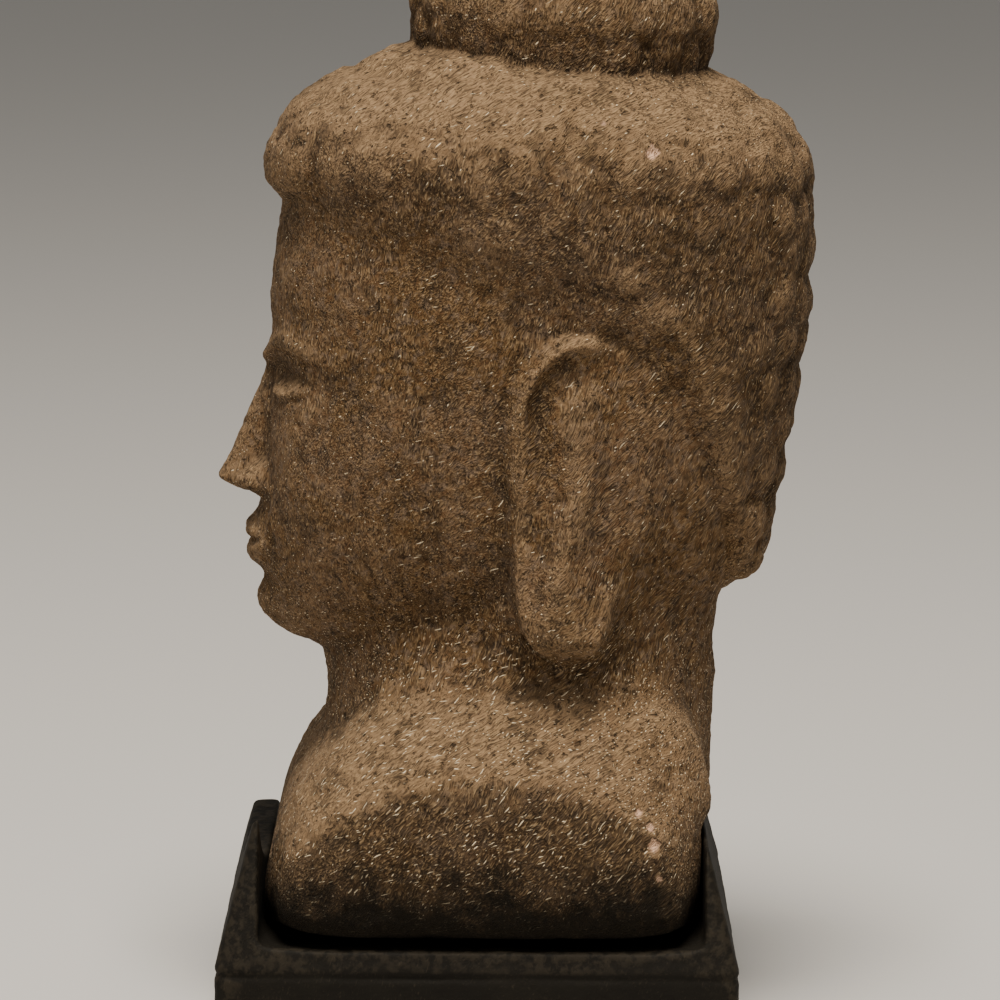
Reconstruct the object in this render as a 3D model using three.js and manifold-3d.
// A small weathered stone Buddha: head, neck and cut-off shoulders carved as one,
// seated in a black four-sided plinth. Millimetres, +Z up, the face towards -Y.
// The origin is the middle of the plinth's underside.
import * as THREE from 'three';
import { LoftGeometry } from 'three/addons/geometries/LoftGeometry.js';
import { mergeVertices } from 'three/addons/utils/BufferGeometryUtils.js';
import Module from 'manifold-3d';

// Plinth: an upright foot, four leaning sides and a trough across it, open left and right.
// The front wall is low and sweeps up to the figure's left corner; the back wall is level.
const PLINTH_WIDTH = 126.6;
const PLINTH_DEPTH = 126.6;
const FOOT_HEIGHT = 30.4;
const SIDE_LEAN = 0.256;
const CORNER_RADIUS = 2.5;
const FRONT_WALL_RISE = 14;
const CORNER_RISE = 35.8;
const CORNER_SWEEP = 76;
const BACK_WALL_RISE = 28.6;
const SEAT_RISE = 4.8;
const SEAT_CLEARANCE = 0.35;

// Shoulders: an arched block with rounded ends, cut off flat below, its back stepping out
// above the plinth.
const SHOULDER_WIDTH = 132;
const CHEST_DEPTH = 107.2;
const CHEST_MIDDLE_Y = 1.1;
const COLLAR_HEIGHT = 58.5;
const END_ARCH_HEIGHT = 48;
const SHOULDER_END_ROUND = 8;
const ARCH_SQUARENESS = 2.05;
const BACK_SQUARENESS = 5;
const BACK_STEP = 2.6;
const BACK_STEP_HEIGHT = 25;
const BACK_STEP_SPAN = 6;
const UNDERSIDE_SQUARENESS = 6;
const UNDERSIDE_ROUND = 5;

// Neck: a short thick column, its back in line with the back of the shoulders, rooted in the head.
const NECK_WIDTH = 77;
const NECK_FRONT_Y = -36.8;
const NECK_BACK_Y = 58.4;
const NECK_BOTTOM = 8;
const NECK_FLARE = 3;
const NECK_FLARE_HEIGHT = 26;
const NECK_ROOT = 26;

// Head: heights are above the underside of the bust.
const CHIN_HEIGHT = 66.3;
const HEAD_HEIGHT = 145;
const HEAD_WIDTH = 116;
const HEAD_DEPTH = 135;
const HEAD_FRONT_Y = -53.9;
const HAIRLINE_HEIGHT = 173.5;
const DOME_SPRING = 181;
const DOME_SQUARENESS = 2.5;
const DOME_SQUARER_FRONT = 0.2;
const CROWN_SLOPE = 0.02;

// Hair: snail curls in level rows, each row half a curl on from the last.
const HAIR_THICKNESS = 4.2;
const HAIR_EDGE = 4;
const BURIED = -3;
const CURLS_PER_ROW = 30;
const CURL_ROW_SPACING = 11.7;
const CURL_RISE = 1.7;
const CURL_DIP = -1.6;

// Topknot: a low round knot of the same curls, leaning back a little.
const TOPKNOT_WIDTH = 73;
const TOPKNOT_DEPTH = 74.2;
const TOPKNOT_MIDDLE_Y = 18.6;
const TOPKNOT_HEIGHT = 40;
const TOPKNOT_GIRTH_RISE = 9;
const TOPKNOT_ROOT = 15;
const TOPKNOT_TILT = 4;
const TOPKNOT_CURLS = 18;

// Ears: long-lobed, standing off the sides of the head on a web of stone.
const EAR_HEIGHT = 79.5;
const EAR_WIDTH = 33;
const EAR_BOTTOM = 69;
const EAR_MIDDLE_Y = 23.2;
const EAR_OUT = 56.5;
const EAR_EDGE = 4;
const EAR_ROOT = 34;
const EAR_SWING = 0.08;
const EAR_LEAN = 0.03;
const EAR_SWAY = 2.4;
const RIM_RISE = 2.4;
const RIDGE_RISE = 2.2;
const HOLLOW_DEPTH = 3.5;
const LOBE_RISE = 1.8;

const STONE = new THREE.MeshStandardMaterial({ color: 0x6b5442, roughness: 0.93, metalness: 0 });
const BLACK = new THREE.MeshStandardMaterial({ color: 0x201d1a, roughness: 0.78, metalness: 0 });

const FACE_HEIGHT = HAIRLINE_HEIGHT - CHIN_HEIGHT;
const SEAT_HEIGHT = FOOT_HEIGHT + SEAT_RISE;

const wasm = await Module();
wasm.setup();

const bell = (distance) => Math.exp(-distance * distance);
const clamp01 = (value) => Math.min(1, Math.max(0, value));
const smooth = (from, to, value) => {
  const t = clamp01((value - from) / (to - from));
  return t * t * (3 - 2 * t);
};
const spaced = (from, to, count) =>
  Array.from({ length: count }, (_, i) => from + ((to - from) * i) / (count - 1));
const power = (value, exponent) => Math.sign(value) * Math.abs(value) ** exponent;

// A smooth curve through rows of numbers, read at a value of their first column.
function readTable(rows, at) {
  const last = rows.length - 1;
  if (at <= rows[0][0]) return rows[0];
  if (at >= rows[last][0]) return rows[last];
  const k = rows.findIndex((row, i) => i > 0 && at <= row[0]) - 1;
  const [a, b] = [rows[k], rows[k + 1]];
  const [before, after] = [rows[Math.max(k - 1, 0)], rows[Math.min(k + 2, last)]];
  const span = b[0] - a[0];
  const t = (at - a[0]) / span;
  return a.map((value, c) => {
    const slopeA = ((b[c] - before[c]) / (b[0] - before[0])) * span;
    const slopeB = ((after[c] - value) / (after[0] - a[0])) * span;
    return (
      value * (1 + t * t * (2 * t - 3)) + slopeA * t * (1 - t) ** 2 +
      b[c] * t * t * (3 - 2 * t) + slopeB * t * t * (t - 1)
    );
  });
}

// The point at an angle round a level outline, a superellipse with its own depth before and
// behind its widest line. The angle is 0 at the front and grows towards +X.
function outlinePoint(angle, { halfWidth, front, widest, back, squareness }) {
  const s = Math.sin(angle);
  const c = Math.cos(angle);
  const depth = c > 0 ? widest - front : back - widest;
  return [halfWidth * power(s, 2 / squareness), widest - depth * power(c, 2 / squareness)];
}

function solidOf(position, index) {
  const bare = new THREE.BufferGeometry();
  bare.setAttribute('position', position);
  bare.setIndex(index);
  const merged = mergeVertices(bare, 1e-4);
  return new wasm.Manifold(new wasm.Mesh({
    numProp: 3,
    vertProperties: merged.attributes.position.array,
    triVerts: new Uint32Array(merged.index.array),
  }));
}

function geometryOf(solid) {
  const mesh = solid.getMesh();
  const geometry = new THREE.BufferGeometry();
  geometry.setAttribute('position', new THREE.BufferAttribute(mesh.vertProperties, 3));
  geometry.setIndex(new THREE.BufferAttribute(mesh.triVerts, 1));
  geometry.computeVertexNormals();
  return geometry;
}

// A closed solid through rings of points, each four-sided patch split along its shorter way and
// each end closed by a fan round its middle.
function loft(rings) {
  const geometry = new LoftGeometry(rings);
  const points = Array.from(geometry.attributes.position.array);
  const corner = (i) => new THREE.Vector3().fromArray(points, 3 * i);
  const sides = Array.from(geometry.index.array);
  for (let i = 0; i < sides.length; i += 6) {
    const [a, b, d, , c] = sides.slice(i, i + 5);
    if (corner(a).distanceTo(corner(c)) < corner(b).distanceTo(corner(d))) {
      sides.splice(i, 6, a, b, c, a, c, d);
    }
  }
  const columns = rings[0].length;
  const fan = (ring, from, turned) => {
    const middle = points.length / 3;
    const sum = ring.reduce((total, point) => total.add(point), new THREE.Vector3());
    points.push(...sum.divideScalar(columns));
    return ring.flatMap((_, j) => (turned
      ? [middle, from + j + 1, from + j]
      : [middle, from + j, from + j + 1]));
  };
  const lastRow = (rings.length - 1) * (columns + 1);
  const ends = [...fan(rings[0], 0, true), ...fan(rings.at(-1), lastRow, false)];
  return solidOf(new THREE.Float32BufferAttribute(points, 3), [...sides, ...ends]);
}

// The head under its hair. Columns: height as a share of the head's, half-width as a share of
// half the head's width, front and back as shares of its depth, and the outline's squareness.
const HEAD_TABLE = [
  [-0.02, 0.2, 0.14, 0.6, 2.0],
  [0, 0.42, 0.06, 0.78, 2.1],
  [0.035, 0.585, 0.022, 0.81, 2.2],
  [0.085, 0.68, 0.012, 0.845, 2.3],
  [0.17, 0.785, 0.012, 0.89, 2.3],
  [0.28, 0.85, 0.012, 0.915, 2.3],
  [0.42, 0.88, 0.012, 0.94, 2.3],
  [0.6, 0.895, 0.02, 0.965, 2.3],
  [0.74, 0.895, 0.034, 0.968, 2.3],
  [0.8, 0.885, 0.036, 0.965, 2.3],
];
const WIDEST_SHARE = 0.5;

function headOutline(height, offset) {
  const h = (Math.min(height, DOME_SPRING) - CHIN_HEIGHT) / HEAD_HEIGHT;
  const [, halfWidth, front, back, squareness] = readTable(HEAD_TABLE, h);
  return {
    halfWidth: (halfWidth * HEAD_WIDTH) / 2 + offset,
    front: HEAD_FRONT_Y + front * HEAD_DEPTH - offset,
    widest: HEAD_FRONT_Y + WIDEST_SHARE * HEAD_DEPTH,
    back: HEAD_FRONT_Y + back * HEAD_DEPTH + offset,
    squareness,
  };
}

// How far the carved face stands forward, as a share of the face's height, at a place given in
// the same shares: x from the middle line and t from the chin up to the hairline. The
// proportions are the drawing book's: brow and nose base at thirds, the mouth a third of the
// way from nose to chin, and the face five eyes wide.
const BROW = 2 / 3;
const NOSE_BASE = 1 / 3;
const NOSE_TIP = 0.375;
const NOSE_ROOT = 0.64;
const MOUTH = 2 / 9;
const EYE = 0.6;
const EYE_OUT = 0.187;

function noseRelief(x, t) {
  const along = clamp01((NOSE_ROOT - t) / (NOSE_ROOT - NOSE_TIP));
  const underside = smooth(NOSE_BASE - 0.004, NOSE_BASE + 0.028, t);
  const top = 1 - smooth(NOSE_ROOT - 0.02, NOSE_ROOT + 0.07, t);
  const halfWidth = 0.036 + 0.024 * along;
  const bridge = (0.014 + 0.112 * along ** 1.2) * Math.exp(-((x / halfWidth) ** 2.6)) * top;
  const wing = 0.07 * bell((x - 0.08) / 0.036) * bell((t - 0.368) / 0.038);
  return underside * Math.cbrt(bridge ** 3 + wing ** 3);
}

function eyeRelief(x, t) {
  const across = x - EYE_OUT;
  const within = clamp01(1 - (across / 0.105) ** 2) ** 0.5;
  const slit = EYE - 0.026 + 0.018 * (across / 0.1) ** 2;
  const socket = -0.034 * bell(across / 0.125) * bell((t - 0.615) / 0.05);
  const lid = 0.036 * bell(across / 0.088) * bell((t - 0.592) / 0.034);
  const edge = within * (0.008 * bell((t - slit - 0.014) / 0.009) - 0.012 * bell((t - slit) / 0.007));
  return socket + lid + edge;
}

function browRelief(x, t) {
  const arch = BROW - 0.012 + 0.05 * Math.sin(Math.PI * clamp01((x - 0.03) / 0.37));
  const fade = 1 - smooth(0.3, 0.4, x);
  return 0.016 * fade * (t > arch ? bell((t - arch) / 0.03) : bell((t - arch) / 0.016));
}

function mouthRelief(x, t) {
  const within = clamp01(1 - (x / 0.148) ** 2) ** 0.6;
  const line = MOUTH + 0.014 * (x / 0.14) ** 2;
  const bow = 0.008 * bell((x - 0.035) / 0.03) - 0.004 * bell(x / 0.02);
  const muzzle = 0.03 * bell(x / 0.16) * bell((t - 0.24) / 0.09);
  const upper = 0.024 * bell((t - line - 0.022 - bow) / 0.018);
  const lower = 0.029 * bell((t - line + 0.026) / 0.021) * clamp01(1 - (x / 0.135) ** 2) ** 0.5;
  const parting = -0.026 * bell((t - line) / 0.008);
  const corner = -0.012 * bell((x - 0.152) / 0.02) * bell((t - line - 0.004) / 0.016);
  const channel = -0.008 * bell(x / 0.017) * bell((t - 0.288) / 0.032);
  return muzzle + within * (upper + lower + parting) + corner + channel;
}

function faceRelief(x, t) {
  const chin = 0.036 * bell(x / 0.11) * bell((t - 0.07) / 0.065);
  const crease = -0.016 * bell(x / 0.1) * bell((t - 0.143) / 0.026);
  const cheek = 0.024 * bell((x - 0.27) / 0.13) * bell((t - 0.4) / 0.15);
  const forehead = 0.01 * bell(x / 0.28) * bell((t - 0.86) / 0.14);
  return noseRelief(x, t) + eyeRelief(x, t) + browRelief(x, t) + mouthRelief(x, t) +
    chin + crease + cheek + forehead;
}

function skinPoint(angle, height) {
  const [x, y] = outlinePoint(angle, headOutline(height, 0));
  const facing = clamp01(Math.cos(angle)) ** 0.4;
  const relief = faceRelief(Math.abs(x) / FACE_HEIGHT, (height - CHIN_HEIGHT) / FACE_HEIGHT);
  return new THREE.Vector3(x, y - FACE_HEIGHT * facing * relief, height);
}

function makeFace() {
  const frontHalfAngle = THREE.MathUtils.degToRad(68);
  const frontColumns = 33;
  const backColumns = 15;
  const angles = [
    ...spaced(-1, 1, frontColumns).map((step) => frontHalfAngle * power(step, 1.3)),
    ...spaced(frontHalfAngle, 2 * Math.PI - frontHalfAngle, backColumns + 2).slice(1, -1),
  ];
  const shares = [
    ...spaced(-0.03, 0.145, 6), ...spaced(0.172, 0.262, 8), ...spaced(0.295, 0.327, 2),
    ...spaced(0.345, 0.375, 3), ...spaced(0.42, 0.535, 4), ...spaced(0.556, 0.596, 5),
    ...spaced(0.615, 0.72, 7), ...spaced(0.76, 1.08, 6),
  ];
  return loft(shares.map((share) =>
    angles.map((angle) => skinPoint(angle, CHIN_HEIGHT + share * FACE_HEIGHT))));
}

// The hairline's height at an angle from the front: level over the brow, down past the temple
// to the ear, and low at the nape. Columns: degrees from the front, share of the face's height.
const HAIRLINE_TABLE = [
  [0, 1], [34, 0.99], [45, 0.91], [60, 0.845], [72, 0.82], [85, 0.735], [97, 0.7],
  [112, 0.62], [127, 0.46], [146, 0.24], [165, 0.1], [180, 0.08],
];

function hairOffset(angle, height) {
  const fromFront = THREE.MathUtils.radToDeg(Math.abs(Math.atan2(Math.sin(angle), Math.cos(angle))));
  const edge = CHIN_HEIGHT + readTable(HAIRLINE_TABLE, fromFront)[1] * FACE_HEIGHT;
  return smooth(edge - HAIR_EDGE / 2, edge + HAIR_EDGE / 2, height);
}

// The curls' lattice has two columns to a curl and two thirds of a row between rings, and every
// second column stands half a ring higher: each curl is a knob with six low points round it.
// The first and the last ring are level.
const RINGS_PER_ROW = 1.5;
const columnLift = (ring, column, rings) => (ring > 0 && ring < rings - 1 ? (column % 2) / 2 : 0);

function curlRelief(ring, column) {
  return (ring - (column % 2)) % (2 * RINGS_PER_ROW) === 0 ? CURL_RISE : CURL_DIP;
}

function makeHair() {
  const columns = 2 * CURLS_PER_ROW;
  const domeHeight = CHIN_HEIGHT + HEAD_HEIGHT - HAIR_THICKNESS - DOME_SPRING;
  const meanRadius = (HEAD_WIDTH + HEAD_DEPTH) / 4;
  const bottom = CHIN_HEIGHT - CURL_ROW_SPACING / 4;
  const wall = spaced(bottom, DOME_SPRING, 8).map((height) => new THREE.Vector2(meanRadius, height));
  const dome = spaced(0.12, 1.45, 9).map((turn) => new THREE.Vector2(
    meanRadius * Math.cos(turn) ** (2 / DOME_SQUARENESS),
    DOME_SPRING + domeHeight * Math.sin(turn) ** (2 / DOME_SQUARENESS),
  ));
  const meridian = new THREE.SplineCurve([...wall, ...dome]);
  const steps = Math.round(meridian.getLength() / CURL_ROW_SPACING * RINGS_PER_ROW);
  const rings = spaced(0, steps - 1, steps).map((ring) =>
    spaced(0, 2 * Math.PI, columns + 1).slice(0, -1).map((angle, column) => {
      const place = meridian.getPointAt((ring + columnLift(ring, column, steps)) / steps);
      const upward = clamp01((place.y - DOME_SPRING) / domeHeight);
      const squareness = DOME_SQUARENESS + DOME_SQUARER_FRONT * Math.cos(angle);
      const narrowing = (1 - upward ** squareness) ** (1 / squareness);
      const cover = hairOffset(angle, place.y);
      const offset = BURIED + cover * (HAIR_THICKNESS - BURIED + curlRelief(ring, column));
      const [x, y] = outlinePoint(angle, headOutline(place.y, offset));
      const along = (y - TOPKNOT_MIDDLE_Y) * narrowing;
      return new THREE.Vector3(
        x * narrowing,
        TOPKNOT_MIDDLE_Y + along,
        place.y + upward * (offset - CROWN_SLOPE * along),
      );
    }));
  return loft(rings);
}

function makeTopknot() {
  const columns = 2 * TOPKNOT_CURLS;
  const upper = TOPKNOT_HEIGHT - TOPKNOT_GIRTH_RISE;
  const radius = TOPKNOT_WIDTH / 2;
  const sides = [[0.88, -TOPKNOT_ROOT], [0.95, -TOPKNOT_ROOT / 8], [0.99, TOPKNOT_GIRTH_RISE / 2]];
  const dome = spaced(0, 1.5, 9).map((turn) =>
    [Math.cos(turn) ** 0.85, TOPKNOT_GIRTH_RISE + upper * Math.sin(turn) ** 0.92]);
  const meridian = new THREE.SplineCurve([...sides, ...dome].map(([share, height]) =>
    new THREE.Vector2(share * radius, height)));
  const steps = Math.round(meridian.getLength() / CURL_ROW_SPACING * RINGS_PER_ROW);
  const tilt = new THREE.Matrix4()
    .makeTranslation(0, TOPKNOT_MIDDLE_Y, CHIN_HEIGHT + HEAD_HEIGHT)
    .multiply(new THREE.Matrix4().makeRotationX(-THREE.MathUtils.degToRad(TOPKNOT_TILT)));
  const rings = spaced(0, steps - 1, steps).map((ring) =>
    spaced(0, 2 * Math.PI, columns + 1).slice(0, -1).map((angle, column) => {
      const place = meridian.getPointAt((ring + columnLift(ring, column, steps)) / steps);
      const share = place.x / radius;
      const relief = curlRelief(ring, column);
      return new THREE.Vector3(
        Math.sin(angle) * (place.x + share * relief),
        -Math.cos(angle) * share * (TOPKNOT_DEPTH / 2 + relief),
        place.y + (1 - share) * relief,
      ).applyMatrix4(tilt);
    }));
  return loft(rings);
}

// An ear's edge: half-width as a share of the widest, at a share of the height from the lobe up.
const EAR_TABLE = [
  [0, 0.3], [0.03, 0.5], [0.1, 0.66], [0.22, 0.78], [0.36, 0.86], [0.46, 0.86], [0.58, 0.92],
  [0.74, 1], [0.86, 0.93], [0.95, 0.66], [1, 0.3],
];

// How far the ear's face stands out, in millimetres, at a place given in shares: across from
// the front edge (-1) to the back edge (1), and up from the lobe.
function earRelief(across, up) {
  const outward = Math.hypot(across ** 2, clamp01((up - 0.6) / 0.4) ** 2) ** 0.5;
  const upperHalf = smooth(0.3, 0.5, up);
  const opening = 1 - bell((across + 1) / 0.5) * bell((up - 0.5) / 0.12);
  const rim = RIM_RISE * bell((outward - 0.92) / 0.13) * upperHalf * opening;
  const ridgeAt = 0.12 - 0.8 * (up - 0.5) ** 2 - 0.3 * smooth(0.6, 0.85, up);
  const ridge = RIDGE_RISE * bell((across - ridgeAt) / 0.2) * smooth(0.12, 0.4, up) *
    (1 - smooth(0.74, 0.9, up));
  const hollow = -HOLLOW_DEPTH * bell((across + 0.36) / 0.26) * bell((up - 0.56) / 0.15);
  const lobe = LOBE_RISE * bell(across / 0.75) * bell((up - 0.12) / 0.15);
  return rim + ridge + hollow + lobe;
}

function makeEar(side) {
  const ups = [0, 0.03, 0.1, 0.2, 0.3, 0.38, 0.46, 0.54, 0.62, 0.7, 0.78, 0.86, 0.92, 0.965, 1];
  const acrosses = [-1, -0.9, -0.7, -0.48, -0.28, -0.08, 0.12, 0.3, 0.5, 0.7, 0.9, 1];
  const rings = ups.map((up) => {
    const half = (readTable(EAR_TABLE, up)[1] * EAR_WIDTH) / 2;
    const sway = EAR_SWAY * Math.sin(Math.PI * (up - 0.42));
    const place = (across, out) => {
      const along = sway + across * half;
      const lean = EAR_LEAN * EAR_HEIGHT * (0.5 - up);
      return new THREE.Vector3(
        side * (out + EAR_SWING * along + lean),
        EAR_MIDDLE_Y + along,
        EAR_BOTTOM + up * EAR_HEIGHT,
      );
    };
    const face = acrosses.map((across) => place(across, EAR_OUT + earRelief(across, up)));
    const back = EAR_OUT - EAR_EDGE;
    return [place(-0.5, EAR_ROOT), place(-1, back), ...face, place(1, back), place(0.8, EAR_ROOT)];
  });
  return loft(side > 0 ? rings : rings.map((ring) => ring.reverse()));
}

// How far the back stands out above the plinth at a height, in so many steps.
const backStep = (height, count) =>
  count * BACK_STEP * smooth(BACK_STEP_HEIGHT, BACK_STEP_HEIGHT + BACK_STEP_SPAN, height);

function makeNeck() {
  const columns = 36;
  const flareFoot = CHIN_HEIGHT - NECK_FLARE_HEIGHT;
  const heights = [NECK_BOTTOM, ...spaced(BACK_STEP_HEIGHT, BACK_STEP_HEIGHT + BACK_STEP_SPAN, 3),
    ...spaced(flareFoot, CHIN_HEIGHT + NECK_ROOT, 6)];
  return loft(heights.map((height) => {
    const flare = NECK_FLARE * (1 - smooth(flareFoot, CHIN_HEIGHT, height));
    const outline = {
      halfWidth: NECK_WIDTH / 2 + flare, front: NECK_FRONT_Y - flare / 2,
      widest: (NECK_FRONT_Y + NECK_BACK_Y) / 2, back: NECK_BACK_Y - 2 * BACK_STEP + backStep(height, 2),
      squareness: 2.35,
    };
    return spaced(0, 2 * Math.PI, columns + 1).slice(0, -1).map((angle) => {
      const [x, y] = outlinePoint(angle, outline);
      return new THREE.Vector3(x, y, height);
    });
  }));
}

// How far along a shoulder a distance from the middle lies: 0 at the neck, 1 at its rounded end.
function shoulderRun(x) {
  const reach = SHOULDER_WIDTH / 2 - SHOULDER_END_ROUND;
  return clamp01((Math.abs(x) - NECK_WIDTH / 2) / (reach - NECK_WIDTH / 2));
}

// The upright outline of the shoulders at one distance from the middle, as points from +Y
// over the top: an arch above and a nearly flat underside with round corners.
function archPoints(x, inset, count) {
  const run = shoulderRun(x);
  const top = COLLAR_HEIGHT - (COLLAR_HEIGHT - END_ARCH_HEIGHT) * run ** 1.3 - inset;
  const half = CHEST_DEPTH / 2 - inset;
  const springing = UNDERSIDE_ROUND + inset;
  const behind = BACK_SQUARENESS + (ARCH_SQUARENESS - BACK_SQUARENESS) * run;
  return spaced(0, 2 * Math.PI, count + 1).slice(0, -1).map((even) => {
    const turn = even - 0.35 * Math.sin(2 * even);
    const c = Math.cos(turn);
    const s = Math.sin(turn);
    const arch = c > 0 ? behind : ARCH_SQUARENESS;
    const squareness = s > 0 ? arch : UNDERSIDE_SQUARENESS;
    const rise = s > 0 ? top - springing : UNDERSIDE_ROUND;
    const height = springing + rise * power(s, 2 / squareness);
    const step = c > 0 ? backStep(height, 1 - run) * c ** (2 / squareness) : 0;
    return new THREE.Vector3(x, CHEST_MIDDLE_Y + half * power(c, 2 / squareness) + step, height);
  });
}

function makeShoulders() {
  const points = 44;
  const half = SHOULDER_WIDTH / 2;
  const slope = spaced(NECK_WIDTH / 2, half - SHOULDER_END_ROUND, 5);
  const straight = [0, NECK_WIDTH / 4, ...slope].map((x) => [x, 0]);
  const rounded = [24, 46, 68, 90].map((degrees) => {
    const turn = THREE.MathUtils.degToRad(degrees);
    return [
      half - SHOULDER_END_ROUND * (1 - Math.sin(turn)),
      SHOULDER_END_ROUND * (1 - Math.cos(turn)),
    ];
  });
  const right = [...straight, ...rounded];
  const left = right.slice(1).reverse().map(([x, inset]) => [-x, inset]);
  return loft([...left, ...right].map(([x, inset]) => archPoints(x, inset, points)));
}

function makeBust() {
  const solids = [makeShoulders(), makeNeck(), makeFace(), makeHair(), makeTopknot(),
    makeEar(1), makeEar(-1)];
  return solids.reduce((whole, solid) => whole.add(solid));
}

// A level rectangle with round corners, at one height of the plinth.
function plinthSection(width, depth, height) {
  const cornerSteps = 3;
  const corners = [[1, -1, -90], [1, 1, 0], [-1, 1, 90], [-1, -1, 180]];
  return corners.flatMap(([sideX, sideY, start]) =>
    spaced(start, start + 90, cornerSteps + 1).map((degrees) => {
      const turn = THREE.MathUtils.degToRad(degrees);
      return new THREE.Vector3(
        sideX * (width / 2 - CORNER_RADIUS) + CORNER_RADIUS * Math.cos(turn),
        sideY * (depth / 2 - CORNER_RADIUS) + CORNER_RADIUS * Math.sin(turn),
        height,
      );
    }));
}

function extrudeAcross(points, width) {
  const shape = new THREE.Shape(points);
  const bar = new THREE.ExtrudeGeometry(shape, { depth: width, bevelEnabled: false });
  // The shape's own axes, right and up, become Y and Z, and the extrusion runs along X.
  bar.applyMatrix4(new THREE.Matrix4().makeBasis(
    new THREE.Vector3(0, 1, 0), new THREE.Vector3(0, 0, 1), new THREE.Vector3(1, 0, 0)));
  bar.translate(-width / 2, 0, 0);
  return solidOf(bar.attributes.position, bar.index);
}

// All that stands above a level, from the middle of the plinth out past its back.
function above(height) {
  const far = 2 * (FOOT_HEIGHT + CORNER_RISE);
  return extrudeAcross([
    new THREE.Vector2(CHEST_MIDDLE_Y, height), new THREE.Vector2(PLINTH_DEPTH, height),
    new THREE.Vector2(PLINTH_DEPTH, far), new THREE.Vector2(CHEST_MIDDLE_Y, far),
  ], 2 * PLINTH_WIDTH);
}

// All that stands above the front wall, which sweeps up to its raised corner.
function aboveFrontWall() {
  const low = FOOT_HEIGHT + FRONT_WALL_RISE;
  const high = FOOT_HEIGHT + CORNER_RISE;
  const cornerX = PLINTH_WIDTH / 2 - SIDE_LEAN * CORNER_RISE;
  const shape = new THREE.Shape();
  shape.moveTo(-PLINTH_WIDTH, low);
  shape.lineTo(cornerX - CORNER_SWEEP, low);
  shape.quadraticCurveTo(cornerX - CORNER_SWEEP / 3, low, cornerX, high);
  shape.lineTo(cornerX, 2 * high);
  shape.lineTo(-PLINTH_WIDTH, 2 * high);
  const block = new THREE.ExtrudeGeometry(shape, {
    depth: PLINTH_DEPTH, bevelEnabled: false, curveSegments: 8,
  });
  // The shape's own axes, right and up, become X and Z, and the extrusion runs towards -Y.
  block.rotateX(Math.PI / 2);
  return solidOf(block.attributes.position, block.index);
}

function makePlinth() {
  const top = FOOT_HEIGHT + CORNER_RISE;
  const lean = 2 * SIDE_LEAN * CORNER_RISE;
  const block = loft([
    plinthSection(PLINTH_WIDTH, PLINTH_DEPTH, 0),
    plinthSection(PLINTH_WIDTH, PLINTH_DEPTH, FOOT_HEIGHT),
    plinthSection(PLINTH_WIDTH - lean, PLINTH_DEPTH - lean, top),
  ]);
  const count = 96;
  const outline = archPoints(0, -SEAT_CLEARANCE, count);
  const underside = [...outline.slice(count / 2), outline[0]]
    .map(({ y, z }) => new THREE.Vector2(y, z + SEAT_HEIGHT));
  const wall = CHEST_DEPTH / 2 + SEAT_CLEARANCE;
  const trough = extrudeAcross([
    new THREE.Vector2(CHEST_MIDDLE_Y + wall, 2 * top),
    new THREE.Vector2(CHEST_MIDDLE_Y - wall, 2 * top),
    ...underside,
  ], 2 * PLINTH_WIDTH);
  return block.subtract(trough).subtract(above(FOOT_HEIGHT + BACK_WALL_RISE))
    .subtract(aboveFrontWall());
}

function namedMesh(name, solid, material, height) {
  const mesh = new THREE.Mesh(geometryOf(solid), material);
  mesh.name = name;
  mesh.position.z = height;
  return mesh;
}

const statue = new THREE.Group();
statue.add(
  namedMesh('stone_bust', makeBust(), STONE, SEAT_HEIGHT),
  namedMesh('black_plinth', makePlinth(), BLACK, 0),
);

export default statue;
